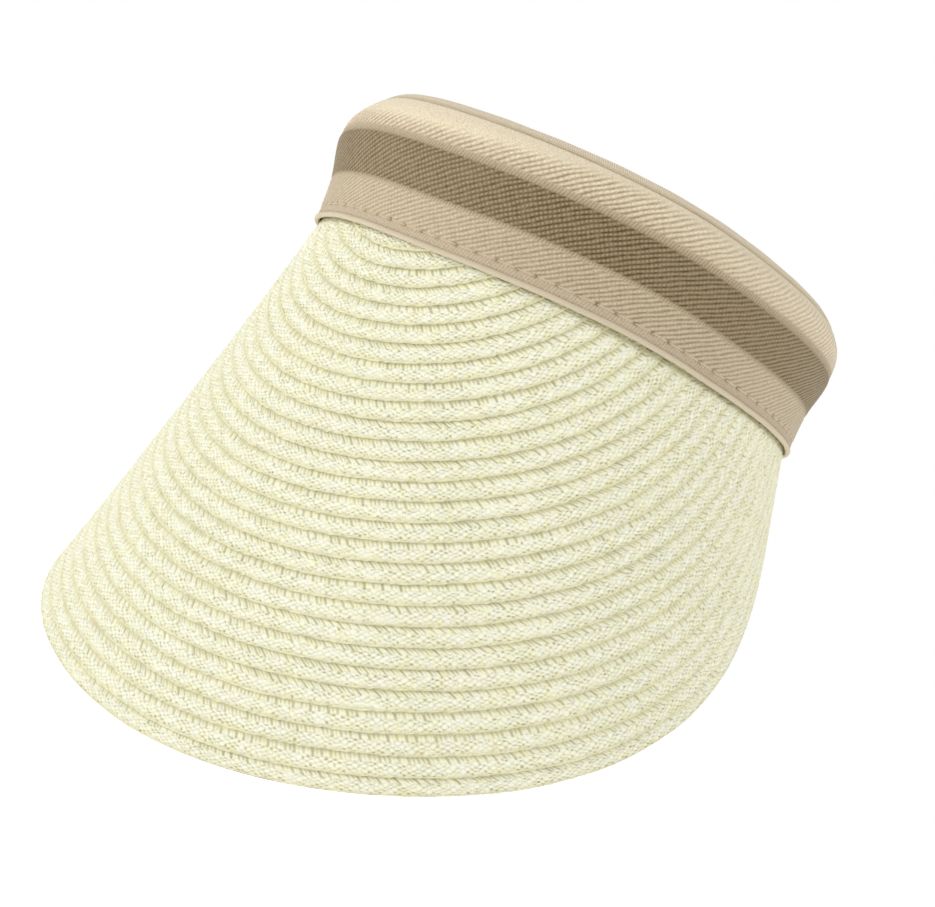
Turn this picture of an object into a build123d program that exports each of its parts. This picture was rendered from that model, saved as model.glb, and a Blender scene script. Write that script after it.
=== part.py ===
"""Clip-on straw sun visor: a brim of sewn paper braid hung from a ribbon-covered spring hoop.

Frame: +Z up, the front of the visor towards -Y, the wearer's left towards +X.
The origin is the centre of the oval seam where the brim is sewn into the band.
Lengths are in millimetres and angles in degrees.
"""

from build123d import *
import os
from math import atan2, ceil, cos, degrees, hypot, radians, sin, tan

os.makedirs("parts", exist_ok=True)

# Seam oval, measured at the middle of the brim's thickness
half_width = 69.4
half_length = 78.9

# Brim: how far it opens out from the vertical at the front and at the sides
flare_front = 5.1
flare_side = 18.2

# Braid rows, as circles in the brim's flat pattern
row_count = 28
row_pitch = 5.0
first_row_radius = 38.2
last_row_width = 3.9
row_centre_height = 33.7
row_squash = 1.05
row_lap = 1.0
row_thickness = 0.7
row_tilt = 0.55
seam_allowance = 3.0
station_spacing = 12.0

# Monofilament under the brim's outer edge
wire_diameter = 0.8
wire_inset = 0.7
wire_drop = 0.4
wire_sides = 8

# Band: height above the seam, and how far the ribbon's face stands outside the seam oval
band_height = 37.0
band_lean = 4.6
band_profile = [(-4.0, 1.7), (12.0, 2.2), (24.0, 4.4), (32.0, 3.0), (37.0, -1.8), (41.0, -8.0)]

# Layers of the band: depth of the outer and inner face behind the ribbon's face, bottom and top
ribbon_layer = (0.0, 0.9, 1.4, 34.4)
hoop_layer = (1.5, 2.9, 8.0, 30.0)
sweatband_layer = (4.0, 5.2, 1.0, 34.4)
binding_layer = (0.1, 5.2, 34.8, band_height)
piping_layer = (-0.8, 0.5, -0.3, 1.1)

# The hoop's free tails start behind the ends of the brim; angles on the oval from the front
tail_start = 131.5
tail_end = 150.0
tail_gap = 0.4
end_fold_angle = 0.8
pivot_offset = 4.2

# Lock stitches that hold the brim in the ribbon's hem
stitch_height = 3.7
stitch_pitch = 5.5
stitch_length = 4.4
stitch_width = 0.45
stitch_clearance = 0.25

# Steps that the layout is worked out in
fewest_stations = 6
seam_step = 1.0
seam_reach = 170.0
bearing_step = 1.0
allowance_margin = 1.0
sector_step = 20.0
sector_reach = 200.0


def oval_point(angle, offset=0.0, height=0.0):
    """Point beside the seam oval, at an angle round it from the front centre."""
    turn = radians(angle)
    return Vector(
        (half_width + offset) * sin(turn),
        -(half_length + offset) * cos(turn) - height * tan(radians(band_lean)),
        height,
    )


def heading(angle):
    """Direction of the oval's outward normal, in degrees round from the front."""
    turn = radians(angle)
    return degrees(atan2(half_length * sin(turn), half_width * cos(turn)))


def outward(angle):
    turn = radians(heading(angle))
    return Vector(sin(turn), -cos(turn), 0)


def flare(angle):
    return flare_front + (flare_side - flare_front) * sin(radians(angle)) ** 2


def walk_seam():
    """Walk round one side of the seam, and lay it out in the brim's flat pattern.

    In the flat pattern the seam turns by less than it does round the head, because the brim is
    part of a cone. Each place is its angle on the oval, its position and its turn when flat.
    """
    places = []
    across, along, turn = 0.0, 0.0, 0.0
    for step in range(int(seam_reach / seam_step)):
        angle = step * seam_step
        places.append((angle, across, along, turn))
        middle = angle + seam_step / 2
        length = radians(seam_step) * hypot(
            half_width * cos(radians(middle)), half_length * sin(radians(middle))
        )
        turned = radians(heading(angle + seam_step) - heading(angle)) * sin(radians(flare(middle)))
        across += length * cos(turn + turned / 2)
        along += length * sin(turn + turned / 2)
        turn += turned
    return places


seam_places = walk_seam()


def beside_ruling(place, across, along):
    """How far a point of the flat pattern lies to the side of the brim's ruling at a place."""
    angle, place_across, place_along, turn = place
    return sin(turn) * (along - place_along) + cos(turn) * (across - place_across)


def find_ruling(across, along):
    """Angle on the oval of the ruling through a point of the flat pattern, and the way down it."""
    for near, far in zip(seam_places, seam_places[1:]):
        past = beside_ruling(far, across, along)
        if past < 0:
            before = beside_ruling(near, across, along)
            share = before / (before - past)
            angle, place_across, place_along, turn = (
                start + share * (end - start) for start, end in zip(near, far)
            )
            way = (across - place_across) * sin(turn) - (along - place_along) * cos(turn)
            return angle, way
    raise ValueError("the point lies behind the last ruling")


def brim_point(radius, bearing, lift=0.0):
    """Point of the brim on a row's circle, at a bearing round it, lifted off the mid surface."""
    across = radius * sin(radians(abs(bearing))) / row_squash
    along = row_centre_height - radius * cos(radians(bearing))
    angle, way = find_ruling(across, along)
    lean = radians(flare(angle))
    down = outward(angle) * sin(lean) - Vector(0, 0, cos(lean))
    face = outward(angle) * cos(lean) + Vector(0, 0, sin(lean))
    turn = radians(angle)
    seam = Vector(half_width * sin(turn), -half_length * cos(turn), 0)
    point = seam + down * way + face * lift
    if bearing < 0:
        point = Vector(-point.X, point.Y, point.Z)
    return point


def end_bearing(radius):
    """Bearing at which a row has passed the top of the seam allowance."""
    bearing = 0.0
    while brim_point(radius, bearing).Z < seam_allowance + allowance_margin:
        bearing += bearing_step
    return bearing


def strip_stations(inner_radius, outer_radius):
    """Planes across a row: X from its inner to its outer edge, Y out of the brim's face."""
    reach = end_bearing(outer_radius)
    steps = max(fewest_stations, 2 * ceil(outer_radius * radians(reach) / station_spacing))
    for step in range(steps + 1):
        bearing = reach * (2 * step / steps - 1)
        inner = brim_point(inner_radius, bearing)
        outer = brim_point(outer_radius, bearing)
        width = (outer - inner).length
        face = brim_point(inner_radius, bearing, 1.0) - inner
        yield Plane(origin=inner, x_dir=outer - inner, z_dir=(outer - inner).cross(face)), width


def save(part, label):
    part.label = label
    export_step(part, f"parts/{label}.step")


# ---------------------------------------------------------------- braid rows

half = row_thickness / 2
for number in range(1, row_count + 1):
    outer_radius = first_row_radius + (number - 1) * row_pitch
    if number == row_count:
        outer_radius += last_row_width - row_pitch
    inner_radius = first_row_radius + (number - 2) * row_pitch - row_lap

    with BuildPart() as braid_row:
        for station, width in strip_stations(inner_radius, outer_radius):
            with BuildSketch(station):
                with BuildLine():
                    Polyline(
                        (0, -row_tilt - half),
                        (width, row_tilt - half),
                        (width, row_tilt + half),
                        (0, -row_tilt + half),
                        close=True,
                    )
                make_face()
        loft()
        split(bisect_by=Plane.XY.offset(seam_allowance), keep=Keep.BOTTOM)
    save(braid_row.part, f"braid_row_{number:02d}")

# ---------------------------------------------------------------- edge wire

edge_radius = first_row_radius + (row_count - 2) * row_pitch + last_row_width
with BuildPart() as edge_wire:
    for station, width in strip_stations(edge_radius - row_pitch, edge_radius):
        with BuildSketch(station):
            with Locations((width - wire_inset, -wire_drop)):
                RegularPolygon(wire_diameter / 2, wire_sides)
    loft()
    split(bisect_by=Plane.XY.offset(seam_allowance), keep=Keep.BOTTOM)
save(edge_wire.part, "edge_wire")

# ---------------------------------------------------------------- band layers


def sector_points(start, end):
    """Outline of a wedge about the origin, between two angles on the oval."""
    steps = ceil((end - start) / sector_step)
    points = [(0.0, 0.0)]
    for step in range(steps + 1):
        angle = start + (end - start) * step / steps
        ray = oval_point(angle)
        size = hypot(ray.X, ray.Y)
        points.append((sector_reach * ray.X / size, sector_reach * ray.Y / size))
    return points


def band_piece(layer, start, end):
    """Curved wall of one layer of the band, between two angles on the oval."""
    outer_depth, inner_depth, bottom, top = layer
    with BuildPart() as piece:
        for depth, mode in ((outer_depth, Mode.ADD), (inner_depth, Mode.SUBTRACT)):
            for height, bulge in band_profile:
                with BuildSketch(Plane.XY.offset(height)):
                    with Locations((0, -height * tan(radians(band_lean)))):
                        Ellipse(half_width + bulge - depth, half_length + bulge - depth)
            loft(mode=mode)
        with BuildSketch(Plane.XY.offset(bottom)):
            with BuildLine():
                Polyline(*sector_points(start, end), close=True)
            make_face()
        extrude(amount=top - bottom, mode=Mode.INTERSECT)
    return piece.part


layers = {
    "outer_ribbon": ribbon_layer,
    "spring_hoop": hoop_layer,
    "sweatband": sweatband_layer,
    "top_binding": binding_layer,
    "hem_piping": piping_layer,
}
stretches = {
    "": (-tail_start, tail_start),
    "_left_tail": (tail_start + tail_gap, tail_end),
    "_right_tail": (-tail_end, -tail_start - tail_gap),
}
for layer_name, layer in layers.items():
    for stretch_name, (start, end) in stretches.items():
        save(band_piece(layer, start, end), layer_name + stretch_name)

# The ribbon's cut end is folded in over the end of each tail
fold_layer = (ribbon_layer[0], sweatband_layer[1], 0.0, band_height)
fold_start = tail_end + tail_gap
save(band_piece(fold_layer, fold_start, fold_start + end_fold_angle), "end_fold_left")
save(band_piece(fold_layer, -fold_start - end_fold_angle, -fold_start), "end_fold_right")

# ---------------------------------------------------------------- hem stitches


def stitch_row(start, end):
    """A row of short threads that lie on the ribbon, between two angles on the oval."""
    step = degrees(stitch_pitch / ((half_width + half_length) / 2))
    count = int((end - start) / step)
    first = (start + end - (count - 1) * step) / 2
    standoff = band_profile[1][1] + stitch_clearance
    with BuildPart() as threads:
        for number in range(count):
            angle = first + number * step
            spot = oval_point(angle, standoff, stitch_height)
            along = outward(angle).rotate(Axis.Z, 90)
            with BuildSketch(Plane(origin=spot, x_dir=along, z_dir=outward(angle))):
                SlotOverall(stitch_length, stitch_width)
            extrude(amount=stitch_width / 2)
    return threads.part


for stretch_name, (start, end) in stretches.items():
    save(stitch_row(start, end), "hem_stitches" + stretch_name)

pivot = oval_point(tail_start, pivot_offset)
print("tail pivots at x = +-%.2f, y = %.2f" % (pivot.X, pivot.Y))
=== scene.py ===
"""Looks for the clip-on sun visor: sewn paper braid, a striped twill band and its trim.

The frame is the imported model's: +Z up out of the crown, the front towards -Y, the wearer's
left towards +X, and the origin at the centre of the seam between brim and band. The shapes
are worked out in millimetres and radians, and add_mesh puts them into metres.
"""

import math

import bpy
import numpy as np
from mathutils import Matrix, Vector


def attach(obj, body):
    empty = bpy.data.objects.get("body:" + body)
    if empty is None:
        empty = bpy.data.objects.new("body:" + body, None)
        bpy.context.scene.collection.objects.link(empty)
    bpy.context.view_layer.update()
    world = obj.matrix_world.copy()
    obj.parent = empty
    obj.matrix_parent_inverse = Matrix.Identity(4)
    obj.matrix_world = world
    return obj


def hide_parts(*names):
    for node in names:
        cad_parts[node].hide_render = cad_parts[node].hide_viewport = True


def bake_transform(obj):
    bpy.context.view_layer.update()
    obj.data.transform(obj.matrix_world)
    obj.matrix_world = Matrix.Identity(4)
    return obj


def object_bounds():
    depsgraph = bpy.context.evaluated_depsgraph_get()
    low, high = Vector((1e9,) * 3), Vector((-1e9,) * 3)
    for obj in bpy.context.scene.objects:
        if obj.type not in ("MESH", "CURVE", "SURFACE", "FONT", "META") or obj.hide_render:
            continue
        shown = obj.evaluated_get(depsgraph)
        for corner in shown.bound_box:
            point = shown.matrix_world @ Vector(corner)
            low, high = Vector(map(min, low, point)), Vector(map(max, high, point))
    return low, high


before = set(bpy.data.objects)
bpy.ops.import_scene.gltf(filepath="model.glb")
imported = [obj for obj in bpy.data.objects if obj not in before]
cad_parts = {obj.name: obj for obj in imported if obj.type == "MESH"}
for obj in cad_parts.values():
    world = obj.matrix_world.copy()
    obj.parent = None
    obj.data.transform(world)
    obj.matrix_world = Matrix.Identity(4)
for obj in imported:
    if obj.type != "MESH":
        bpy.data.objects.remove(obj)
cad_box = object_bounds()

MM = 0.001
TURN = 2 * math.pi
upwards = np.array([0.0, 0.0, 1.0])

# Seam oval and the brim's flare from the vertical, as in the CAD
half_width = 69.4
half_length = 78.9
flare_front = math.radians(5.1)
flare_side = math.radians(18.2)

# How far round the seam is laid out, in how many steps, and the halvings that find a place on it
seam_reach = math.radians(170.0)
seam_steps = 1360
ruling_halvings = 20

# Braid rows, as circles in the brim's flat pattern
row_count = 28
row_pitch = 5.0
first_row_radius = 38.2
last_row_width = 3.9
row_centre_height = 33.7
row_squash = 1.05
row_lap = 1.0
row_width = row_pitch + row_lap
station_step = 0.27

# How far up inside the band the rows' ends stand, and the steps in which a row's end is found
allowance_height = 2.8
probe_reach = math.radians(150.0)
probe_steps = 600

# Plait: the strands' pitch along a row, and how far they go along it for each millimetre across
strand_pitch = 2.235
strand_lean = 1.9
tooth_pitch = strand_pitch / 2
tooth_lean = -0.65
spare_strands = 60

# Rolled rim of a row: its place across the row, height and radius, and the knobs along it
rim_place = 5.30
rim_lift = 0.02
rim_radius = 0.39
knob_depth = 0.13
knob_luck = 0.045
knob_count = 997

# Places across a row: the start of the comb, the end of its notches, and two lanes of holes
comb_place = 1.0
notch_limit = 3.3
inner_lane = 2.8
outer_lane = 4.65

# Relief of the plait: how deep its gaps, corner holes, comb, notches and sewn line are
strand_depth = 0.17
corner_depth = 0.24
tooth_depth = 0.08
notch_depth = 0.30
line_depth = 0.06

# Upper face and underside of a row: height at the inner edge, and rise across the row
face_height = -0.24
face_slope = 0.125
under_height = -0.80
under_slope = 0.14

# Band: height, lean, and how far the ribbon's face stands outside the seam oval
band_height = 37.0
band_lean = math.radians(4.6)
profile_heights = np.array([-4.0, 12.0, 24.0, 32.0, 37.0, 41.0])
profile_bulges = np.array([1.7, 2.2, 4.4, 3.0, -1.8, -8.0])

# Height at which the band's length is measured
course_height = 18.0

# Angles round the oval: the end of the brim, and the end of a tail
brim_end = math.radians(131.5)
tail_end = math.radians(150.4)

# Hem stitches: height, pitch, and more holes than half the band has
stitch_height = 3.4
stitch_pitch = 5.5
most_holes = 60

# Unevenness of the band: a dip by the front, a slump and a dent beside it, a rise at each ear.
# Places are distances along the band from the front centre, positive to the wearer's left.
dip_place = 14.0
dip_reach = 26.0
slump_place = -43.0
slump_depth = 1.0
slump_reach = 20.0
dent_depth = 1.5
dent_reach = 19.0
ear_place = 77.0
ear_rise = 0.6
ear_reach = 22.0

# Heights over which each stripe of twill and each steep strip of the ribbon comes and goes
lower_twill = (3.5, 3.9, 10.9, 11.6)
middle_twill = (12.0, 12.6, 22.9, 23.4)
lower_strip = (11.1, 11.5, 12.1, 12.5)
upper_strip = (22.9, 23.4, 24.7, 25.3)
upper_twill_start = (24.7, 25.3)
upper_twill_fade = 3.4
hem_strip_end = (3.3, 3.6)
stripe_borders = (11.4, 23.2, 25.0)
cream_start = 24.0

# Relief of the ribbon: height of its ribs, the knots on them, the plain weave and the strips,
# and depth of a stitch's hole
rib_height = 0.18
knot_height = 0.16
plain_height = 0.10
strip_height = 0.07
hole_depth = 0.30

# Pitches of the ribbon's steep ribs (with their slant along the band for each millimetre up it)
# and of its plain weave, and of the fibres round a stitch
steep_pitch = 0.90
steep_slant = -0.42
warp_pitch = 0.52
weft_pitch = 0.5
thread_fibre_pitch = 0.34

# Depths behind the ribbon's face: the middle of the binding, and of the turn round a tail's end
binding_depth = 2.7
turn_depth = 2.85


# ---------------------------------------------------------------- shapes


def heading(angle):
    """Direction of the seam oval's outward normal, round from the front."""
    return np.arctan2(half_length * np.sin(angle), half_width * np.cos(angle))


def flare(angle):
    """How far the brim opens out from the vertical, at an angle round the seam oval."""
    return flare_front + (flare_side - flare_front) * np.sin(angle) ** 2


def smooth_step(low, high, value):
    """0 below low and 1 above high, or the other way round if low is the larger."""
    share = np.clip((value - low) / (high - low), 0, 1)
    return share * share * (3 - 2 * share)


def between(edges, value):
    """0, then 1 from the second edge to the third, then 0 again past the fourth."""
    return smooth_step(edges[0], edges[1], value) * smooth_step(edges[3], edges[2], value)


def bell(value, width):
    """1 at zero, and less on both sides of it."""
    return np.exp(-((value / width) ** 2))


def walk_seam():
    """The seam's places when the brim is laid flat: angle on the oval, across, along, turn."""
    angle = np.linspace(0, seam_reach, seam_steps + 1)
    middle = (angle[1:] + angle[:-1]) / 2
    step = np.hypot(half_width * np.cos(middle), half_length * np.sin(middle)) * np.diff(angle)
    turn = np.append(0, np.cumsum(np.diff(heading(angle)) * np.sin(flare(middle))))
    way = (turn[1:] + turn[:-1]) / 2
    across = np.append(0, np.cumsum(step * np.cos(way)))
    along = np.append(0, np.cumsum(step * np.sin(way)))
    return angle, across, along, turn


seam_angle, seam_across, seam_along, seam_turn = walk_seam()


def brim_points(radius, bearing, lift):
    """Points of the brim on circles of the flat pattern, lifted off its middle surface."""
    across = radius * np.sin(np.abs(bearing)) / row_squash
    along = row_centre_height - radius * np.cos(bearing)
    low = np.zeros(across.shape)
    high = np.full(across.shape, seam_reach)
    for _ in range(ruling_halvings):
        angle = (low + high) / 2
        turn = np.interp(angle, seam_angle, seam_turn)
        side = np.sin(turn) * (along - np.interp(angle, seam_angle, seam_along))
        side += np.cos(turn) * (across - np.interp(angle, seam_angle, seam_across))
        low = np.where(side > 0, angle, low)
        high = np.where(side > 0, high, angle)
    way = np.sin(turn) * (across - np.interp(angle, seam_angle, seam_across))
    way -= np.cos(turn) * (along - np.interp(angle, seam_angle, seam_along))
    lean = flare(angle)
    way = np.maximum(way, -allowance_height / np.cos(lean))
    outward = way * np.sin(lean) + lift * np.cos(lean)
    course = heading(angle)
    x = half_width * np.sin(angle) + outward * np.sin(course)
    y = -half_length * np.cos(angle) - outward * np.cos(course)
    z = lift * np.sin(lean) - way * np.cos(lean)
    return np.stack([np.where(bearing < 0, -x, x), y, z], axis=-1)


def end_bearing(radius, height):
    """Bearing at which a circle of the brim has risen to a height behind the band."""
    bearing = np.linspace(0, probe_reach, probe_steps)
    heights = brim_points(radius + 0 * bearing, bearing, 0 * bearing)[:, 2]
    return bearing[np.argmax(heights > height)]


def bulge(height):
    """How far the ribbon's face stands outside the seam oval: a curve through the profile."""
    slopes = np.gradient(profile_bulges, profile_heights)
    place = np.clip(np.searchsorted(profile_heights, height) - 1, 0, len(slopes) - 2)
    span = profile_heights[place + 1] - profile_heights[place]
    share = (height - profile_heights[place]) / span
    rest = 1 - share
    return (
        profile_bulges[place] * (1 + 2 * share) * rest**2
        + profile_bulges[place + 1] * (1 + 2 * rest) * share**2
        + slopes[place] * span * share * rest**2
        - slopes[place + 1] * span * rest * share**2
    )


def band_points(angle, height, depth):
    """Points of the band, at angles round the oval and at a depth behind the ribbon's face."""
    out = bulge(height) - depth
    x = (half_width + out) * np.sin(angle)
    y = -(half_length + out) * np.cos(angle) - height * math.tan(band_lean)
    return np.stack([x, y, height + 0 * angle], axis=-1)


# Distances along the ribbon's face from the front centre, and the tail's direction at its end
band_angles = np.linspace(0, tail_end, 2000)
band_course = band_points(band_angles, course_height + 0 * band_angles, 0.0)
band_steps = np.linalg.norm(np.diff(band_course, axis=0), axis=1)
band_run = np.append(0, np.cumsum(band_steps))
brim_run = np.interp(brim_end, band_angles, band_run)
end_heading = heading(np.array(tail_end))
end_forward = np.array([np.cos(end_heading), np.sin(end_heading), 0.0])


def sag(way, height):
    """How far the band sits above its even course: it dips at the front and rises at the ears."""
    dip = 1.15 - 0.55 * smooth_step(10.0, 34.0, height)
    slump = slump_depth * smooth_step(24.0, 35.0, height)
    dips = dip * bell(way - dip_place, dip_reach) + slump * bell(way - slump_place, slump_reach)
    return ear_rise * bell(np.abs(way) - ear_place, ear_reach) - dips


def dent(way, height):
    """How far the top of the band is pressed in, beside the front on the wearer's right."""
    return dent_depth * bell(way - slump_place, dent_reach) * smooth_step(22.0, 34.0, height)


def run_points(distance, height, depth, side):
    """Points of the band at distances along the ribbon, straight on past the end of the tail.

    They are the left side's, but with the sag and dent of the side that is asked for.
    """
    way = distance if side == "left" else -distance
    angle = np.interp(distance, band_run, band_angles)
    past = np.clip(distance - band_run[-1], 0, None)
    points = band_points(angle, height, depth + dent(way, height))
    points = points + past[..., None] * end_forward
    points[..., 2] += sag(way, height)
    return points


# ---------------------------------------------------------------- meshes


def grid_faces(rows, columns, round_section):
    """Quads of a grid of points, closed across its columns for a round section."""
    row = np.arange(rows - 1)[:, None] * columns
    column = np.arange(columns if round_section else columns - 1)[None, :]
    beside = (column + 1) % columns
    quads = [row + column, row + beside, row + columns + beside, row + columns + column]
    return np.stack(quads, axis=-1).reshape(-1, 4)


def add_mesh(name, points, faces, material, values):
    """A smooth mesh in metres, with a number for each point under each name in values."""
    mesh = bpy.data.meshes.new(name)
    mesh.vertices.add(len(points))
    mesh.vertices.foreach_set("co", (points * MM).astype(np.float32).ravel())
    mesh.loops.add(faces.size)
    mesh.loops.foreach_set("vertex_index", faces.astype(np.int32).ravel())
    mesh.polygons.add(len(faces))
    mesh.polygons.foreach_set("loop_start", np.arange(0, faces.size, 4, dtype=np.int32))
    mesh.update(calc_edges=True)
    mesh.shade_smooth()
    for label, numbers in values.items():
        layer = mesh.attributes.new(label, "FLOAT", "POINT")
        layer.data.foreach_set("value", numbers.astype(np.float32).ravel())
    mesh.materials.append(material)
    thing = bpy.data.objects.new(name, mesh)
    bpy.context.scene.collection.objects.link(thing)
    return thing


def tube_points(line, radius, sides, side_way):
    """Rings of points round a line, whose radius may change. side_way fixes the rings' start."""
    along = np.gradient(line, axis=0)
    along /= np.linalg.norm(along, axis=1, keepdims=True)
    across = side_way - (side_way * along).sum(1, keepdims=True) * along
    across /= np.linalg.norm(across, axis=1, keepdims=True)
    up = np.cross(along, across)
    turn = np.arange(sides) * TURN / sides
    radius = np.broadcast_to(radius, (len(line), sides))[..., None]
    ring = across[:, None] * np.cos(turn)[None, :, None]
    ring = ring + up[:, None] * np.sin(turn)[None, :, None]
    return line[:, None] + ring * radius


def round_ends(count, reach):
    """Radius shares that close a tube softly within reach points of both ends."""
    tip = 0.02
    place = np.minimum(np.arange(count), np.arange(count)[::-1])
    return np.sqrt(1 - (1 - np.clip((place + tip) / reach, 0, 1)) ** 2)[:, None]


# ---------------------------------------------------------------- materials


def add_node(tree, kind, inputs=(), **settings):
    """A shader node. inputs is a dict or a list of values or sockets to link."""
    made = tree.nodes.new(kind)
    for name, value in settings.items():
        setattr(made, name, value)
    for key, value in inputs.items() if isinstance(inputs, dict) else enumerate(inputs):
        if isinstance(value, bpy.types.NodeSocket):
            tree.links.new(value, made.inputs[key])
        else:
            made.inputs[key].default_value = value
    return made


def compute(tree, operation, *values):
    """Result of a maths node on numbers or sockets."""
    return add_node(tree, "ShaderNodeMath", values, operation=operation).outputs[0]


def attribute(tree, name):
    """Number that the mesh holds for each point under a name."""
    return add_node(tree, "ShaderNodeAttribute", attribute_name=name).outputs["Fac"]


def linear(red, green, blue):
    """A colour's linear values from its display values of 0 to 255."""
    shares = [value / 255 for value in (red, green, blue)]
    return [s / 12.92 if s <= 0.04045 else ((s + 0.055) / 1.055) ** 2.4 for s in shares] + [1.0]


def ramp(tree, value, stops):
    """Colour ramp from (place, colour) pairs; the places run from 0 to 1."""
    made = add_node(tree, "ShaderNodeValToRGB", [value])
    points = made.color_ramp.elements
    while len(points) < len(stops):
        points.new(0.5)
    for point, (place, colour) in zip(points, stops):
        point.position = place
        point.color = colour
    return made.outputs["Color"]


def mix(tree, share, first, second, blend="MIX"):
    """Two colours mixed. The sockets go by number, because the node repeats their names."""
    inputs = {0: share, 6: first, 7: second}
    made = add_node(tree, "ShaderNodeMix", inputs, data_type="RGBA", blend_type=blend)
    return made.outputs[2]


def noise(tree, scale, detail):
    """Noise in the frame's space; scale is in repeats to the metre."""
    place = add_node(tree, "ShaderNodeTexCoord").outputs["Object"]
    inputs = {"Vector": place, "Scale": scale, "Detail": detail, "Roughness": 0.6}
    return add_node(tree, "ShaderNodeTexNoise", inputs).outputs["Fac"]


def ribs(tree, distance, pitch):
    """0 to 1 and back every pitch of a distance in millimetres."""
    wave = compute(tree, "SINE", compute(tree, "MULTIPLY", distance, TURN / pitch))
    return compute(tree, "MULTIPLY_ADD", wave, 0.5, 0.5)


def new_material(name, roughness, specular, sheen=0.0):
    """A material with its node tree and its shader."""
    material = bpy.data.materials.new(name)
    material.use_nodes = True
    tree = material.node_tree
    shader = tree.nodes["Principled BSDF"]
    shader.inputs["Roughness"].default_value = roughness
    shader.inputs["Specular IOR Level"].default_value = specular
    shader.inputs["Sheen Weight"].default_value = sheen
    return material, tree, shader


def finish_material(tree, shader, colour, relief, depth):
    """Links the colour, and a bump of that depth in millimetres."""
    tree.links.new(colour, shader.inputs["Base Color"])
    bump = add_node(tree, "ShaderNodeBump", {"Height": relief, "Distance": depth * MM})
    tree.links.new(bump.outputs[0], shader.inputs["Normal"])


def straw_material():
    """Paper straw: ivory strands of slightly different tints, with painted shade in khaki down in
    the plait.
    """
    material, tree, shader = new_material("straw_braid", roughness=0.62, specular=0.28)
    tint = ramp(tree, attribute(tree, "tint"), [
        (0.0, linear(251, 251, 237)),
        (0.45, linear(251, 250, 229)),
        (1.0, linear(247, 244, 211)),
    ])
    patches = ramp(tree, noise(tree, scale=70.0, detail=2.0), [
        (0.30, linear(251, 252, 246)),
        (0.55, linear(255, 255, 255)),
        (0.75, linear(255, 253, 246)),
    ])
    tint = mix(tree, 0.7, tint, patches, "MULTIPLY")
    blotches = ramp(tree, noise(tree, scale=430.0, detail=2.0), [
        (0.36, linear(253, 254, 252)),
        (0.50, linear(255, 255, 252)),
        (0.64, linear(253, 251, 233)),
    ])
    tint = mix(tree, 0.75, tint, blotches, "MULTIPLY")
    # Painted shade: khaki mixed into the straw where the plait is deep, under each row's rim and
    # where the rows go up into the band
    shade_khaki = ramp(tree, noise(tree, scale=260.0, detail=2.0), [
        (0.3, linear(182, 176, 128)),
        (0.7, linear(212, 206, 160)),
    ])
    colour = mix(tree, attribute(tree, "painted_shade"), tint, shade_khaki)
    fibre_pitch = 0.24
    lines = ribs(tree, attribute(tree, "fibre"), fibre_pitch)
    fleck = noise(tree, scale=2600.0, detail=2.0)
    colour = mix(tree, compute(tree, "MULTIPLY", lines, 0.10), colour, linear(205, 199, 160))
    relief = compute(tree, "MULTIPLY_ADD", fleck, 0.9, compute(tree, "MULTIPLY", lines, 0.5))
    finish_material(tree, shader, colour, relief, depth=0.06)
    return material


def stripe_ramp(tree, height, colours):
    """Colours up the ribbon from (height in millimetres, colour) pairs."""
    share = compute(tree, "DIVIDE", height, band_height)
    return ramp(tree, share, [(place / band_height, colour) for place, colour in colours])


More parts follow.
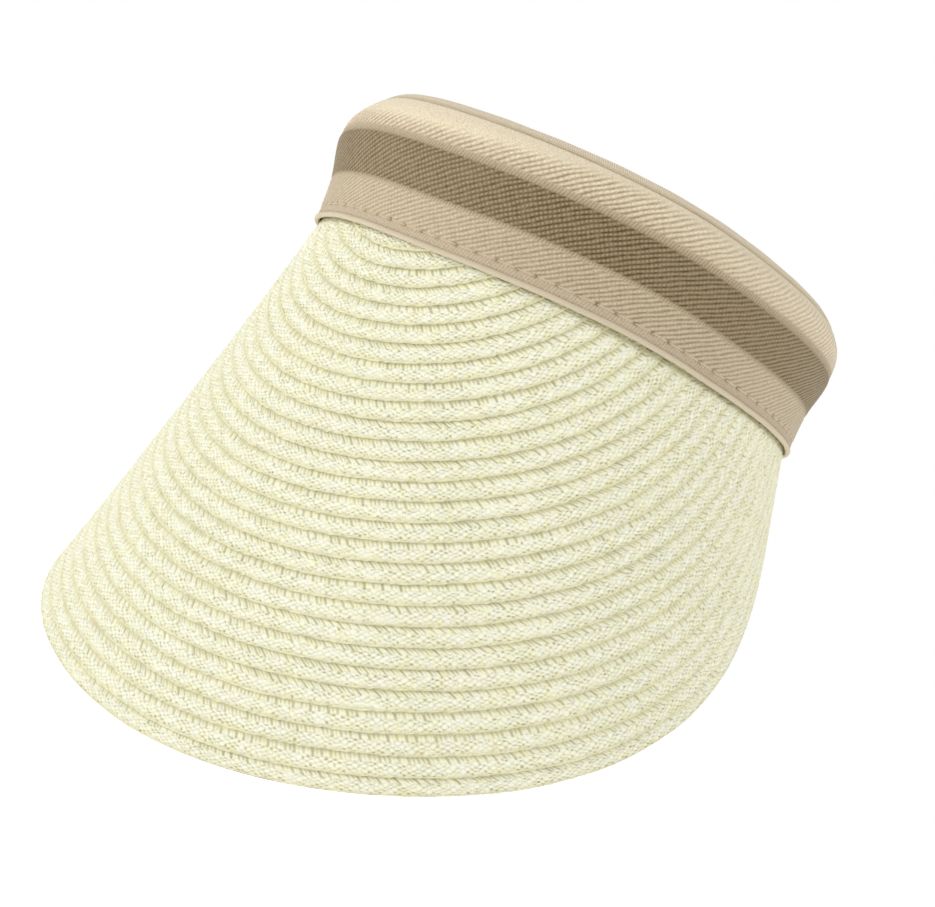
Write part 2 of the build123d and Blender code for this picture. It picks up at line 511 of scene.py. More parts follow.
def ribbon_material():
    """Twill webbing: stripes of knotted ribs, and steep fine ribs between the stripes.

    crown is the colour on top of a thread at each height, and the colour between threads is
    painted shade, as is the darkening in the stitch holes, along the hem's crease and under the
    trim.
    Painted shade also makes the ribbon a little darker towards the sides.
    """
    side_shade_reach = 120.0
    name = "ribbon_webbing"
    material, tree, shader = new_material(name, roughness=0.85, specular=0.15, sheen=0.12)
    height = attribute(tree, "height")
    way = attribute(tree, "way")
    crown = stripe_ramp(tree, height, [
        (3.0, linear(200, 185, 160)),
        (3.7, linear(211, 197, 171)),
        (10.8, linear(211, 197, 170)),
        (12.5, linear(166, 150, 120)),
        (23.0, linear(165, 149, 119)),
        (23.6, linear(182, 166, 139)),
        (24.8, linear(196, 180, 154)),
        (25.5, linear(226, 211, 184)),
        (29.5, linear(242, 229, 202)),
        (34.6, linear(240, 228, 201)),
    ])
    # Painted shade: a darker colour for down between the threads, in the holes and in the creases
    gap_shade = stripe_ramp(tree, height, [
        (3.0, linear(146, 129, 104)),
        (4.4, linear(150, 133, 106)),
        (10.8, linear(148, 131, 103)),
        (12.5, linear(92, 74, 47)),
        (23.0, linear(92, 74, 47)),
        (23.6, linear(124, 107, 80)),
        (25.5, linear(144, 125, 97)),
        (31.0, linear(168, 150, 122)),
        (34.6, linear(156, 137, 110)),
    ])
    # A quarter of a pitch back, so that the ribs stand where the relief has them
    rib = ribs(tree, compute(tree, "SUBTRACT", attribute(tree, "phase"), 0.25), 1.0)
    knot = ribs(tree, attribute(tree, "knots"), 1.0)
    # Painted shade down between the ribs and beside the knots
    low = compute(tree, "POWER", compute(tree, "SUBTRACT", 1.0, rib), 1.2)
    beside = compute(tree, "MULTIPLY", compute(tree, "SUBTRACT", 1.0, knot), rib)
    low = compute(tree, "MULTIPLY_ADD", beside, attribute(tree, "knotting"), low)
    luck = noise(tree, scale=650.0, detail=2.0)
    low = compute(tree, "MULTIPLY", low, compute(tree, "MULTIPLY_ADD", luck, 1.1, 0.45))
    share = compute(tree, "MULTIPLY_ADD", low, attribute(tree, "twill"), attribute(tree, "gap_shade"))
    colour = mix(tree, compute(tree, "MINIMUM", share, 1.0), crown, gap_shade)
    slanted = compute(tree, "MULTIPLY_ADD", height, steep_slant, way)
    steep = ribs(tree, slanted, steep_pitch)
    fine = ribs(tree, way, warp_pitch)
    cross = ribs(tree, height, weft_pitch)
    canvas = compute(tree, "MULTIPLY", fine, cross)
    strip = attribute(tree, "strip")
    plain = attribute(tree, "plain")
    # Painted shade in the grooves of the steep strips and of the plain weave
    strip_share = compute(tree, "MULTIPLY", strip, compute(tree, "MULTIPLY", steep, 0.45))
    plain_share = compute(tree, "MULTIPLY", plain, compute(tree, "MULTIPLY", canvas, 0.13))
    colour = mix(tree, compute(tree, "ADD", strip_share, plain_share), colour, gap_shade)
    fleck = noise(tree, scale=2200.0, detail=3.0)
    spots = ramp(tree, fleck, [(0.3, linear(222, 216, 206)), (0.6, linear(255, 255, 255))])
    colour = mix(tree, 0.8, colour, spots, "MULTIPLY")
    # Painted shade: the ribbon a little darker towards the sides
    to_side = compute(tree, "DIVIDE", compute(tree, "ABSOLUTE", way), side_shade_reach)
    side_shade = ramp(tree, to_side, [
        (0.10, linear(255, 255, 255)),
        (0.55, linear(249, 249, 249)),
        (0.80, linear(243, 243, 243)),
    ])
    colour = mix(tree, 1.0, colour, side_shade, "MULTIPLY")
    weave = compute(tree, "MULTIPLY", plain, compute(tree, "ADD", fine, cross))
    weave = compute(tree, "MULTIPLY_ADD", weave, 0.6, compute(tree, "MULTIPLY", strip, steep))
    knotted = compute(tree, "MULTIPLY", rib, knot)
    knotted = compute(tree, "MULTIPLY", attribute(tree, "twill"), knotted)
    weave = compute(tree, "MULTIPLY_ADD", knotted, 1.2, weave)
    relief = compute(tree, "MULTIPLY_ADD", fleck, 0.8, weave)
    finish_material(tree, shader, colour, relief, depth=0.10)
    return material


def cloth_material(name, light, dark, warp, weft, depth):
    """Plain cloth with threads of two pitches, along the band and up it."""
    material, tree, shader = new_material(name, roughness=0.88, specular=0.12, sheen=0.1)
    along = ribs(tree, attribute(tree, "along"), warp)
    up = ribs(tree, attribute(tree, "height"), weft)
    weave = compute(tree, "MULTIPLY", along, up)
    fleck = noise(tree, scale=1800.0, detail=3.0)
    shade = compute(tree, "MULTIPLY_ADD", fleck, 0.5, compute(tree, "MULTIPLY", weave, 0.6))
    colour = ramp(tree, shade, [(0.15, dark), (0.7, light)])
    relief = compute(tree, "ADD", weave, compute(tree, "MULTIPLY", fleck, 0.6))
    finish_material(tree, shader, colour, relief, depth)
    return material


def twist_material(name, light, dark, pitch, depth):
    """Spun thread or cord, with fibres that wind round it."""
    material, tree, shader = new_material(name, roughness=0.8, specular=0.15, sheen=0.1)
    wound = ribs(tree, attribute(tree, "along"), pitch)
    fleck = noise(tree, scale=2400.0, detail=3.0)
    shade = compute(tree, "MULTIPLY_ADD", fleck, 0.5, compute(tree, "MULTIPLY", wound, 0.5))
    colour = ramp(tree, shade, [(0.2, dark), (0.75, light)])
    finish_material(tree, shader, colour, compute(tree, "ADD", wound, fleck), depth)
    return material


def plastic_material(name, colour, roughness, transmission=0.0):
    """Moulded or drawn plastic, faintly clouded."""
    material, tree, shader = new_material(name, roughness, specular=0.5)
    shader.inputs["Transmission Weight"].default_value = transmission
    darker = [0.88 * part for part in colour[:3]] + [1.0]
    cloud = noise(tree, scale=400.0, detail=3.0)
    shades = ramp(tree, cloud, [(0.3, darker), (0.7, colour)])
    grain = noise(tree, scale=1500.0, detail=2.0)
    finish_material(tree, shader, shades, grain, depth=0.01)
    return material


straw = straw_material()
webbing = ribbon_material()
lining_cloth = cloth_material(
    "lining_cloth",
    light=linear(236, 224, 200),
    dark=linear(182, 162, 130),
    warp=0.62,
    weft=0.62,
    depth=0.14,
)
binding_cloth = cloth_material(
    "binding_cloth",
    light=linear(232, 219, 196),
    dark=linear(188, 172, 145),
    warp=0.62,
    weft=9.0,
    depth=0.10,
)
piping_cloth = twist_material(
    "piping_cloth",
    light=linear(208, 196, 173),
    dark=linear(184, 169, 144),
    pitch=0.55,
    depth=0.03,
)
thread = twist_material(
    "thread",
    light=linear(216, 200, 174),
    dark=linear(176, 157, 128),
    pitch=thread_fibre_pitch,
    depth=0.03,
)
filament = plastic_material(
    "clear_filament", linear(196, 196, 186), roughness=0.25, transmission=0.4
)
hoop_plastic = plastic_material("hoop_plastic", linear(234, 230, 220), roughness=0.45)

# ---------------------------------------------------------------- braid rows

# A row's section, once round it: places across its upper face, turns round the rim, places
# back across its underside, and the places and heights of its hidden inner edge
face_places = np.concatenate(
    [[0.0, 0.5, 0.85, 1.0, 1.15, 1.35], np.arange(1.6, 4.9, 0.25), [5.05]]
)
rim_turns = np.radians([98, 72, 48, 24, 0, -30, -68])
under_places = np.array([5.2, 4.75, 4.3, 3.8, 3.2, 2.6, 2.0, 1.5, 1.05, 0.7, 0.35, 0.0])
edge_places = np.array([-0.15, -0.2, -0.1])
edge_lifts = np.array([-0.66, -0.5, -0.34])


def strands(distance, places, pitch, lean, wobble=0.0):
    """How far a point is off its strand's middle, from -1 to 1, and the strand's number."""
    phase = (distance[:, None] + lean * places[None, :]) / pitch + wobble
    number = np.floor(phase).astype(int)
    return 2 * (phase - number) - 1, number


def rounded(off):
    """Height of a round strand at a share of its half width off its middle."""
    return np.sqrt(np.clip(1 - 0.94 * off**2, 0, 1))


def plait_face(distance, places, rng):
    """Sink below the plait's plane, painted shade, tint and fibre place over one face of a row.

    Two sets of strands cross over and under each other, and leave small holes at the corners.
    Beside the row above, the strands' folded ends show as a comb of leaning teeth with notches
    between them. The painted shade is 0 on top of a strand and 1 deep down in the plait.
    """
    count = int(distance[-1] / tooth_pitch) + spare_strands
    start = rng.uniform(0, TURN, 6)
    run = distance[:, None]

    # The plait: strands that rise and fall across the row, each over every other one it meets
    slow = 0.10 * np.sin(run / 9.0 + start[0]) + 0.06 * np.sin(run / 2.9 + start[1])
    stray = 0.13 * np.sin(run / 0.71 + 2.3 * places + start[2])
    stray = stray + 0.11 * np.sin(run / 1.13 - 1.9 * places + start[3])
    rise_off, rising = strands(distance, places, strand_pitch, strand_lean, slow + stray)
    fall_off, falling = strands(distance, places, strand_pitch, -strand_lean, 0.5 + slow - stray)
    over = (rising + falling) % 2 == 0
    rise_luck = rng.uniform(-1, 1, count)[rising % count]
    fall_luck = rng.uniform(-1, 1, count)[falling % count]
    cell_luck = rng.uniform(-1, 1, (31, 37))[rising % 31, falling % 37]
    top_off = np.where(over, rise_off, fall_off)
    under_off = np.where(over, fall_off, rise_off)
    top_luck = np.where(over, rise_luck, fall_luck)
    cell = rounded(top_off) * (1 - 0.45 * under_off**2)
    corner_size = 0.5
    corner = bell(1 - np.abs(rise_off), corner_size) * bell(1 - np.abs(fall_off), corner_size)
    lanes = 0.65 + 0.9 * bell(places - outer_lane, 0.45) + 0.6 * bell(places - inner_lane, 0.5)
    corner = np.clip(corner * lanes * np.clip(0.3 + 1.1 * cell_luck, 0, 1), 0, 1)

    # The comb: a long notch beside every second tooth, a short one beside the others
    lean = tooth_lean + 0.45 * np.sin(run / 37.0 + start[4])
    tooth_off, tooth = strands(distance, places, tooth_pitch, lean, slow)
    beside = tooth + (tooth_off > 0)
    notch_luck = rng.uniform(-1, 1, count)[beside % count]
    tooth_luck = rng.uniform(-1, 1, count)[tooth % count]
    main = beside % 2 == 0
    notch_end = np.where(main, 2.6, 1.9) + np.where(main, 0.5, 0.35) * notch_luck
    notch_share = np.clip((places - comb_place) / (notch_end - comb_place), 0, 1)
    notch_half = (0.18 + 0.54 * (1 - notch_share)) * np.where(main, 1.0, 0.8)
    off_notch = (1 - np.abs(tooth_off)) * tooth_pitch / 2
    notch = np.clip(1 - (off_notch / notch_half) ** 2, 0, 1) * smooth_step(1.0, 0.55, notch_share)
    notch = notch * np.where(main, 0.80 + 0.20 * notch_luck, 0.45 + 0.40 * notch_luck)
    notch = notch * (places < notch_limit)
    near_notch = bell(off_notch, 0.4) * np.where(main, 1.0, 0.45)

    comb = smooth_step(2.5 + 0.3 * tooth_luck, 1.8, places)
    field = (1 - comb) * smooth_step(5.9, 5.4, places)

    # The dark line under the rim of the row above: a shallow dip, and painted shade
    line_end = 1.20 + 0.16 * tooth_luck + 0.12 * np.sin(run / 3.7 + start[5])
    line = smooth_step(line_end + 0.35, line_end - 0.2, places) * (0.38 + 0.42 * near_notch)

    sink = comb * (tooth_depth * (1 - rounded(tooth_off)) - 0.05 * tooth_luck)
    sink += notch_depth * notch
    sink += field * (strand_depth * (1 - cell) - 0.045 * top_luck + corner_depth * corner)
    sink += line_depth * line

    # Painted shade in the line under the rim, in the notches, in the holes at the strands' corners
    # and between strands, and growing towards the rim
    painted_shade = np.maximum(line, 0.9 * notch)
    painted_shade = np.maximum(painted_shade, field * (0.27 * (1 - cell) + 0.84 * corner))
    painted_shade = np.maximum(painted_shade, comb * (0.06 + 0.24 * (1 - rounded(tooth_off))))
    painted_shade = np.maximum(painted_shade, 0.17 * smooth_step(3.7, 5.1, places))
    tint = 0.42 + 0.26 * comb * tooth_luck + field * (0.26 * top_luck + 0.22 * cell_luck)
    tint = tint - 0.22 * bell(places - 3.1, 0.9) + 0.25 * smooth_step(4.0, 5.1, places)
    field_fibre = 0.45 * run + np.where(over, places, -places)
    fibre = np.where(comb > 0.5, run - places, field_fibre)
    return sink, painted_shade, tint, fibre


def braid_row(number):
    """One row: a closed strip with the plait's relief, whose ends are tucked up into the band."""
    rng = np.random.default_rng(number)
    outer = first_row_radius + (number - 1) * row_pitch
    inner = outer - row_width
    if number == row_count:
        outer += last_row_width - row_pitch
    squeeze = (outer - inner) / row_width
    reach = end_bearing(outer, allowance_height - 0.05)
    count = int(2 * reach * outer / station_step)
    bearing = np.linspace(-reach, reach, count)
    distance = (bearing + reach) * (outer - row_width / 2)

    sink, painted_shade, tint, fibre = plait_face(distance, face_places, rng)
    face_lift = face_height + face_slope * face_places - sink
    slack = 0.13 * np.sin(distance / 17.0 + rng.uniform(0, TURN))
    slack += 0.07 * np.sin(distance / 4.1 + rng.uniform(0, TURN))
    rim_off, rim_number = strands(distance, rim_turns, tooth_pitch, -0.5, 0.12 * slack[:, None])
    rim_luck = rng.uniform(-1, 1, knob_count)[rim_number % knob_count]
    rim_round = rounded(rim_off)
    rim_size = rim_radius - knob_depth * (1 - rim_round) + knob_luck * rim_luck
    rim_across = rim_place + slack[:, None] + (rim_size + 0.06 * rim_luck) * np.cos(rim_turns)
    rim_up = rim_lift + rim_size * np.sin(rim_turns)
    # Painted shade on the rim's lower side, where it turns down, and between its knobs
    rim_painted_shade = 0.66 * smooth_step(2.6, 0.5, rim_turns) * (0.9 - 0.35 * rim_luck)
    rim_painted_shade = np.clip(rim_painted_shade + 0.46 * (1 - rim_round), 0, 0.95)
    rim_tint = 0.60 + 0.35 * rim_luck

    # The underside, with painted shade worked out as on the upper face
    under = plait_face(distance, under_places + 0.15, rng)
    under_sink, under_painted_shade, under_tint, under_fibre = under
    under_sink = under_sink * smooth_step(5.0, 4.4, under_places)
    under_lift = under_height + under_slope * under_places + 0.8 * under_sink
    under_painted_shade = under_painted_shade * smooth_step(0.7, 1.0, under_places)

    down = np.ones((count, 1))
    edge = down * edge_places
    across = np.hstack([down * face_places, rim_across, down * under_places, edge])
    lift = np.hstack([face_lift, rim_up, under_lift, down * edge_lifts])
    values = {
        "painted_shade": np.hstack([painted_shade, rim_painted_shade, under_painted_shade, 0.2 + 0 * edge]),
        "tint": np.hstack([tint, rim_tint, under_tint, 0.8 + 0 * edge]),
        "fibre": np.hstack([fibre, down * 0.6 * rim_turns, under_fibre, down * [0.0, 0.1, 0.2]]),
    }
    ring = across.shape[1]
    radius = inner + squeeze * across
    points = brim_points(radius, np.repeat(bearing[:, None], ring, axis=1), lift)

    # Painted shade darkens the straw where it goes up into the band; faces flattened at the top
    # are left out
    tucked = smooth_step(-1.7, -0.5, points[..., 2] + 0.3 * values["tint"])
    values["painted_shade"] = np.maximum(values["painted_shade"], 0.75 * tucked)
    flat_points = points.reshape(-1, 3)
    faces = grid_faces(count, ring, True)
    hidden = (flat_points[faces][:, :, 2] > allowance_height - 0.25).all(axis=1)
    strip = add_mesh(f"straw_row_{number:02d}", flat_points, faces[~hidden], straw, values)
    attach(strip, "visor")
    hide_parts(f"braid_row_{number:02d}")


for number in range(1, row_count + 1):
    braid_row(number)

# ---------------------------------------------------------------- edge wire

edge_radius = first_row_radius + (row_count - 2) * row_pitch + last_row_width
wire_radius = 0.4
wire_inset = 0.62
wire_drop = 0.46
wire_stations = 900
wire_sides = 12

wire_reach = end_bearing(edge_radius, allowance_height - 0.3)
wire_bearing = np.linspace(-wire_reach, wire_reach, wire_stations)
level = 0 * wire_bearing
wire_line = brim_points(edge_radius - wire_inset + level, wire_bearing, level - wire_drop)
unevenness = (1 + 0.02 * np.sin(wire_bearing * 90))[:, None]
wire_size = wire_radius * round_ends(wire_stations, 4) * unevenness
wire_rings = tube_points(wire_line, wire_size, wire_sides, upwards)
wire_faces = grid_faces(wire_stations, wire_sides, True)
wire = add_mesh("filament_edge", wire_rings.reshape(-1, 3), wire_faces, filament, {})
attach(wire, "visor")
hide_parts("edge_wire")

# ---------------------------------------------------------------- band

side_bodies = {"left": "left_tail", "right": "right_tail"}


def follow_tail(thing, nodes):
    """Bakes a half of the band's placement into its mesh, and hides the CAD pieces that it stands
    for.
    """
    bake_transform(thing)
    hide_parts(*nodes)


def mirrored(points, faces, side):
    """The points and faces of one half of the band, worked out for the left one."""
    if side == "right":
        return points * [-1, 1, 1], faces[:, ::-1]
    return points, faces


def webbing_relief(along, height, side):
    """Relief of the woven ribbon, its share of painted shade, and the values that its material
    reads.

    There are twill ribs of knotted threads, steep strips between the stripes, plain weave at
    the top, and a hem that its stitches pull in. The twill leans the same way all round.
    """
    way = along if side == "left" else -along
    off_front = np.abs(way)
    in_cream = height > cream_start
    lean = np.where(in_cream, math.radians(34.0), math.radians(29.5))
    rib_pitch = np.where(in_cream, 1.26, 1.16)
    knot_pitch = np.where(in_cream, 1.5, 1.09)
    wobble = 0.12 * np.sin(way / 13.0) + 0.05 * np.sin(way / 3.1 + height)
    wobble = wobble + 0.05 * np.sin(way / 1.9 - 1.7 * height)
    phase = (height * np.cos(lean) - way * np.sin(lean)) / rib_pitch + wobble
    rib = 0.5 - 0.5 * np.cos(TURN * phase)
    knots = (way * np.cos(lean) + height * np.sin(lean)) / knot_pitch - wobble
    knot = 0.5 + 0.5 * np.sin(TURN * knots)

    to_side = smooth_step(5.0, 65.0, off_front)
    cream_top = 30.0 + 4.0 * to_side
    lower = between(lower_twill, height)
    middle = between(middle_twill, height)
    upper = between((*upper_twill_start, cream_top - upper_twill_fade, cream_top), height)
    upper = upper * (1.06 - 0.35 * smooth_step(45.0, 105.0, off_front))
    lower_fade = 1 - 0.26 * smooth_step(85.0, 125.0, off_front)
    fade = 1 - 0.20 * smooth_step(55.0, 115.0, off_front)
    twill = (0.66 + 0.16 * to_side) * (lower * lower_fade + (1.15 * middle + upper) * fade)
    strip = between(lower_strip, height) + between(upper_strip, height)
    strip = strip + 0.7 * smooth_step(hem_strip_end[1], hem_strip_end[0], height)
    plain = 1 - np.clip(twill + strip, 0, 1)
    knotting = 0.40 * lower + 0.62 * middle + 0.28 * upper
    knotting = knotting * (1 - 0.45 * smooth_step(35.0, 95.0, off_front))

    hole_number = np.round(along / stitch_pitch).astype(int)
    rng = np.random.default_rng(70 + (side == "right"))
    shift, size = rng.uniform(-1, 1, (2, most_holes))[:, hole_number]
    to_hole = along - hole_number * stitch_pitch + 0.5 * shift
    hole = bell(to_hole, 0.75) * bell(height - stitch_height, 0.42) * (0.75 + 0.25 * size)
    pull = bell(height - stitch_height, 0.55) * (0.14 + 0.14 * bell(to_hole, 1.1))
    borders = sum(bell(height - place, 0.4) for place in stripe_borders)
    lift = twill * (rib_height * rib**0.8 + knot_height * knotting * rib * knot)
    lift = lift + plain_height * plain + strip_height * strip
    lift = lift - 0.03 * borders - pull - hole_depth * hole
    # Painted shade: a little in the plain weave, along the stitched crease, in the stitch holes,
    # and where the ribbon goes under the binding
    gap_shade = 0.04 * plain + 0.20 * bell(height - stitch_height, 0.35) + 0.95 * hole
    gap_shade = gap_shade + 0.75 * smooth_step(33.7, 34.3, height)
    values = {"height": height, "way": way, "phase": phase, "knots": knots, "knotting": knotting}
    return lift, gap_shade, values | {"twill": twill, "plain": plain, "strip": strip}


def ribbon_half(side):
    """Half of the outer ribbon. It runs round the end of the tail, and its cut end lies inside."""
    run = band_run[-1]
    turn_run = 6.4
    inside_run = 8.0
    distance = np.arange(0, run + turn_run + inside_run, 0.32)
    rising = np.arange(1.5, 34.0, 0.25)
    heights = np.concatenate([[0.5, 0.62, 0.85, 1.12], rising, [34.15, 34.3, 34.3]])
    tuck = np.concatenate([[0.7, 0.4, 0.18, 0.05], 0 * rising, [0.06, 0.26, 0.6]])
    along, height = np.meshgrid(distance, heights, indexing="ij")
    lift, gap_shade, values = webbing_relief(along, height, side)
    lift = lift * (1 - np.clip(tuck / 0.45, 0, 1))
    # Painted shade where the ribbon tucks under the piping and the binding
    gap_shade = np.maximum(gap_shade, smooth_step(0.1, 0.8, tuck)[None, :] * np.where(height > 20, 0.5, 0.15))

    # Half a turn round the tip, and then back inside the tail
    turned = np.clip((along - run) / turn_run, 0, 1) * math.pi
    inside = np.clip(along - run - turn_run, 0, None)
    depth = turn_depth * (1 - np.cos(turned)) + (tuck - lift) * np.cos(turned)
    points = run_points(np.minimum(along, run) - inside, height, depth, side)
    stand = (1.0 + lift - tuck) * np.sin(turned)
    points = points + stand[..., None] * end_forward
    points, faces = mirrored(points.reshape(-1, 3), grid_faces(*along.shape, False), side)
    half = add_mesh(f"ribbon_{side}", points, faces, webbing, values | {"gap_shade": gap_shade})
    nodes = ["outer_ribbon", f"outer_ribbon_{side}_tail", f"end_fold_{side}"]
    follow_tail(half, nodes)


def lining_half(side):
    """Half of the sweatband: soft cotton with small puckers, folded in along its lower edge.

    Behind the ends of the brim that fold reaches out to the ribbon and closes the hem.
    """
    rng = np.random.default_rng(40 + (side == "right"))
    distance = np.arange(0, band_run[-1] - 0.6, 0.6)
    rising = np.arange(1.5, 34.0, 0.6)
    heights = np.concatenate([[1.9, 1.4, 1.05, 1.05], rising, [34.2]])
    depths = np.concatenate([[4.1, 4.1, 4.3, 4.8], 5.1 + 0 * rising, [4.7]])
    closing = np.concatenate([[2.9, 2.9, 2.2, 0.6], 0 * rising, [0.0]])
    along, height = np.meshgrid(distance, heights, indexing="ij")
    behind_brim = smooth_step(brim_run, brim_run + 3.0, along)
    pucker = sum(
        bell(height - place, 4.5) * np.sin(along / length + rng.uniform(0, TURN) + height * 0.05)
        for place, length in ((3.7, 0.95), (3.7, 1.7), (33.0, 1.3), (33.0, 2.1))
    )
    swell = np.sin(along / 11.0 + rng.uniform(0, TURN)) * np.sin(height / 10.7)

    # The stitches pull the lining in round each hole
    hole_phase = along / stitch_pitch
    to_hole = (hole_phase - np.round(hole_phase)) * stitch_pitch
    pull = bell(height - stitch_height, 0.9) * (0.30 + 0.25 * bell(to_hole, 0.8))
    lift = np.where(height > 1.3, 0.13 * pucker + 0.16 * swell - pull, 0.0)
    depth = depths[None, :] + lift - closing[None, :] * behind_brim
    points = run_points(along, height, depth, side)
    inward_faces = grid_faces(*along.shape, False)[:, ::-1]
    points, faces = mirrored(points.reshape(-1, 3), inward_faces, side)
    values = {"height": height, "along": along}
    half = add_mesh(f"lining_{side}", points, faces, lining_cloth, values)
    follow_tail(half, ["sweatband", f"sweatband_{side}_tail"])


def binding_half(side):
    """Half of the ribbed tape that caps the hoop, the ribbon and the lining."""
    middle_height = 35.5
    half_thickness = 2.78
    half_height = 1.48
    rib_pitch = 0.95
    past_end = 1.9
    sides = 28
    distance = np.arange(0, band_run[-1] + past_end, 0.24)
    turn = np.linspace(0, TURN, sides, endpoint=False)
    across = np.sign(np.cos(turn)) * np.abs(np.cos(turn)) ** 0.45
    up = np.sign(np.sin(turn)) * np.abs(np.sin(turn)) ** 0.65 * half_height
    along, up_grid = np.meshgrid(distance, up, indexing="ij")
    slanted = along + 0.3 * up_grid
    rib = 0.5 + 0.5 * np.cos(TURN * slanted / rib_pitch)
    swell = 0.04 * np.sin(along / 7.0) + 0.03 * np.sin(along / 2.7 + 1.0)

    # The two halves meet at the front, so only the tail's end is rounded
    ends = round_ends(len(distance), 4)
    ends[:4] = 1.0
    height = middle_height + up_grid * (1 + 0.05 * rib * (up_grid > 0) + swell) * ends
    depth = binding_depth - half_thickness * across * (1 + 0.016 * rib + 0.5 * swell) * ends
    points = run_points(along, height, depth, side)
    points, faces = mirrored(points.reshape(-1, 3), grid_faces(*along.shape, True), side)
    values = {"height": 0 * along + turn * 1.2, "along": slanted}
    half = add_mesh(f"binding_{side}", points, faces, binding_cloth, values)
    follow_tail(half, ["top_binding", f"top_binding_{side}_tail"])


def piping_half(side):
    """Half of the rolled edge under the ribbon's hem, rounded only at the tail's end."""
    middle_height = 0.34
    middle_depth = 0.12
    radius = 0.74
    twist_pitch = 1.1
    sides = 14
    distance = np.arange(0, band_run[-1] + 0.5, 0.25)
    line = run_points(distance, middle_height + 0 * distance, middle_depth, side)
    line[:, 2] += 0.04 * np.sin(distance / 9.0) + 0.03 * np.sin(distance / 3.3)
    turn = np.arange(sides) * TURN / sides
    twist = 0.5 + 0.5 * np.cos(TURN * distance[:, None] / twist_pitch + turn[None, :])
    size = (radius + 0.02 * twist) * round_ends(len(distance), 3)
    size[:4] = size[4]
    rings = tube_points(line, size, sides, upwards)
    points, faces = mirrored(rings.reshape(-1, 3), grid_faces(len(distance), sides, True), side)
    values = {"along": distance[:, None] + turn[None, :] * 0.4 + 0 * twist}
    half = add_mesh(f"piping_{side}", points, faces, piping_cloth, values)
    follow_tail(half, ["hem_piping", f"hem_piping_{side}_tail"])


def stitches_half(side):
    """Lock stitches in the hem, from hole to hole, on the ribbon's face and on the lining."""
    segments = 16
    sides = 8
    thread_radius = 0.2
    count = int((band_run[-1] - 3.0) / stitch_pitch)
    share = np.linspace(0, 1, segments)
    every_ring = []
    every_along = []
    on_ribbon = (0.02, 1.0)
    on_lining = (5.2, -1.0)
    for depth, proud in (on_ribbon, on_lining):
        for number in range(count):
            distance = (number + share * 0.94 + 0.03) * stitch_pitch
            arch = np.sin(share * math.pi) ** 0.35
            sunk = depth + proud * (0.42 - 0.34 * arch)
            line = run_points(distance, stitch_height + 0 * share, sunk, side)
            size = thread_radius * round_ends(segments, 2)
            rings = tube_points(line, size, sides, upwards)
            every_ring.append(rings.reshape(-1, 3))
            turns = np.arange(sides) / sides * thread_fibre_pitch
            every_along.append((distance[:, None] + turns[None, :]).ravel())
    one = grid_faces(segments, sides, True)
    faces = np.vstack([one + index * segments * sides for index in range(len(every_ring))])
    points, faces = mirrored(np.vstack(every_ring), faces, side)
    half = add_mesh(f"stitches_{side}", points, faces, thread, {"along": np.hstack(every_along)})
    follow_tail(half, ["hem_stitches", f"hem_stitches_{side}_tail"])


for side in side_bodies:
    ribbon_half(side)
    lining_half(side)
    binding_half(side)
    piping_half(side)
    stitches_half(side)

# The hoop is hidden in the band, so the CAD's own pieces stay, in a plastic of their own
for name in ("spring_hoop", "spring_hoop_left_tail", "spring_hoop_right_tail"):
    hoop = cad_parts[name]
    hoop.data.materials.clear()
    hoop.data.materials.append(hoop_plastic)

# ---------------------------------------------------------------- camera, light and floor

# The camera's direction and roll, its place in millimetres along its own axes, and its lens
camera_azimuth = 0.6922
camera_elevation = -0.0441
camera_roll = -0.4502
camera_distance = 482.9
camera_aside = -8.51
camera_up = -39.45
camera_lens = 64.37

back = Vector((
    math.sin(camera_azimuth) * math.cos(camera_elevation),
    -math.cos(camera_azimuth) * math.cos(camera_elevation),
    math.sin(camera_elevation),
))
right = Vector((math.cos(camera_azimuth), math.sin(camera_azimuth), 0.0))
up = back.cross(right)
image_right = right * math.cos(camera_roll) - up * math.sin(camera_roll)
image_up = right * math.sin(camera_roll) + up * math.cos(camera_roll)
eye = (right * camera_aside + up * camera_up + back * camera_distance) * MM

camera = bpy.data.objects.new("camera", bpy.data.cameras.new("camera"))
axes = Matrix((image_right, image_up, back)).transposed().to_4x4()
camera.matrix_world = Matrix.Translation(eye) @ axes
camera.data.sensor_width = 36.0
camera.data.lens = camera_lens
camera.data.clip_start = 0.01
camera.data.clip_end = 60.0
bpy.context.scene.collection.objects.link(camera)
bpy.context.scene.camera = camera


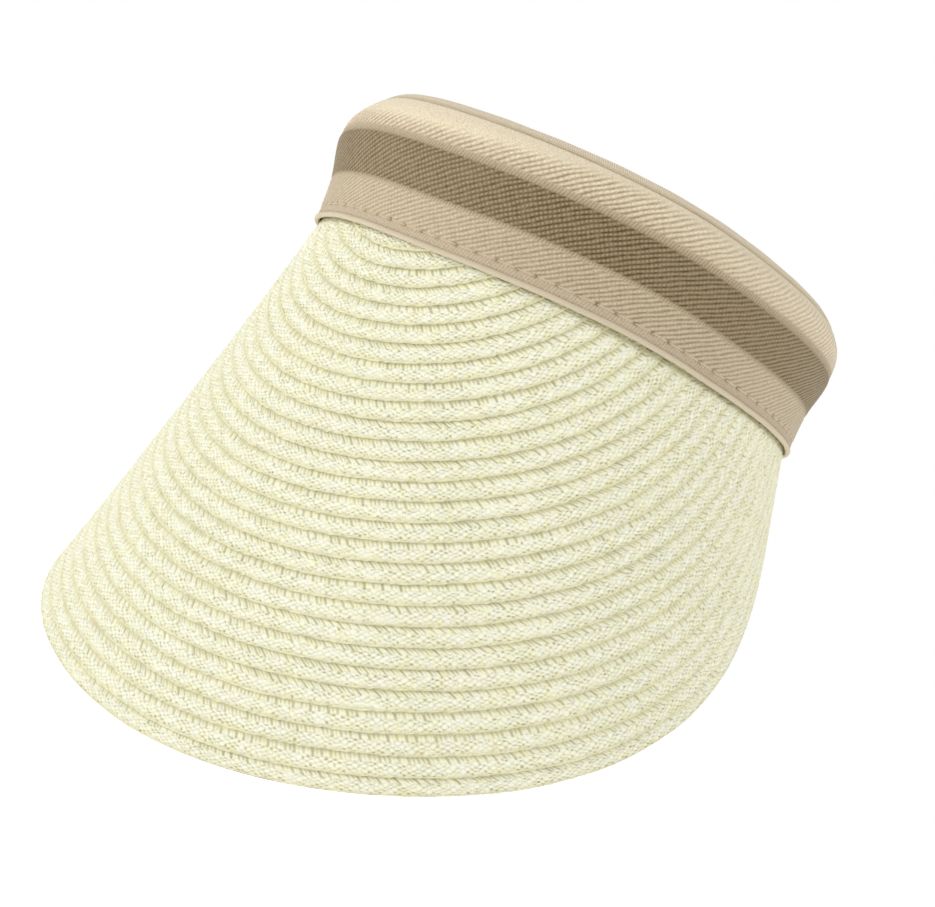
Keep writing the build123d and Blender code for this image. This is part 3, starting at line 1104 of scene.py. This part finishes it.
def add_light(name, place, size, power, tone):
    """A square area light that looks at the middle of the visor."""
    lamp = bpy.data.lights.new(name, "AREA")
    lamp.shape = "SQUARE"
    lamp.size = size
    lamp.energy = power
    lamp.color = tone
    light = bpy.data.objects.new(name, lamp)
    middle = Vector((0.0, -0.03, -0.04))
    light.location = middle + place
    light.rotation_mode = "QUATERNION"
    light.rotation_quaternion = (-place).to_track_quat("-Z", "Y")
    bpy.context.scene.collection.objects.link(light)


key_place = -image_right * 1.0 + image_up * 1.2 + back * 0.7
fill_place = image_right * 1.8 + back * 0.5 + image_up * 0.5
behind_place = -back * 1.2 + image_up * 0.9
add_light("key", key_place, size=0.9, power=8.8, tone=(1.0, 0.985, 0.95))
add_light("fill", fill_place, size=1.4, power=9.8, tone=(1.0, 0.985, 0.935))
add_light("behind", behind_place, size=1.2, power=6.0, tone=(1.0, 1.0, 1.0))

# A white ground behind the visor, which lights it less than it shows
seen_strength = 1.0
lit_strength = 0.62
white = (1.0, 1.0, 1.0, 1.0)
world = bpy.data.worlds.new("studio")
bpy.context.scene.world = world
world.use_nodes = True
world_tree = world.node_tree
world_tree.nodes.clear()
seen = add_node(world_tree, "ShaderNodeBackground", {"Color": white, "Strength": seen_strength})
lit = add_node(world_tree, "ShaderNodeBackground", {"Color": white, "Strength": lit_strength})
ray = add_node(world_tree, "ShaderNodeLightPath").outputs["Is Camera Ray"]
both = add_node(world_tree, "ShaderNodeMixShader", [ray, lit.outputs[0], seen.outputs[0]])
add_node(world_tree, "ShaderNodeOutputWorld", [both.outputs[0]])

# A plain pale floor below the visor, in metres
floor_drop = 0.30
floor_size = 12.0
floor_glow = 0.6
floor_level = cad_box[0].z - floor_drop
corners = np.array([[-1, -1, 0], [1, -1, 0], [1, 1, 0], [-1, 1, 0]]) * floor_size / 2 / MM
corners[:, 2] = floor_level / MM
floor_material, _, floor_shader = new_material("floor", roughness=0.9, specular=0.1)
floor_shader.inputs["Base Color"].default_value = (0.93, 0.93, 0.93, 1.0)
floor_shader.inputs["Emission Color"].default_value = white
floor_shader.inputs["Emission Strength"].default_value = floor_glow
floor = add_mesh("floor", corners, np.array([[0, 1, 2, 3]]), floor_material, {})

bpy.context.scene.view_settings.view_transform = "Standard"
bpy.context.scene.view_settings.look = "None"
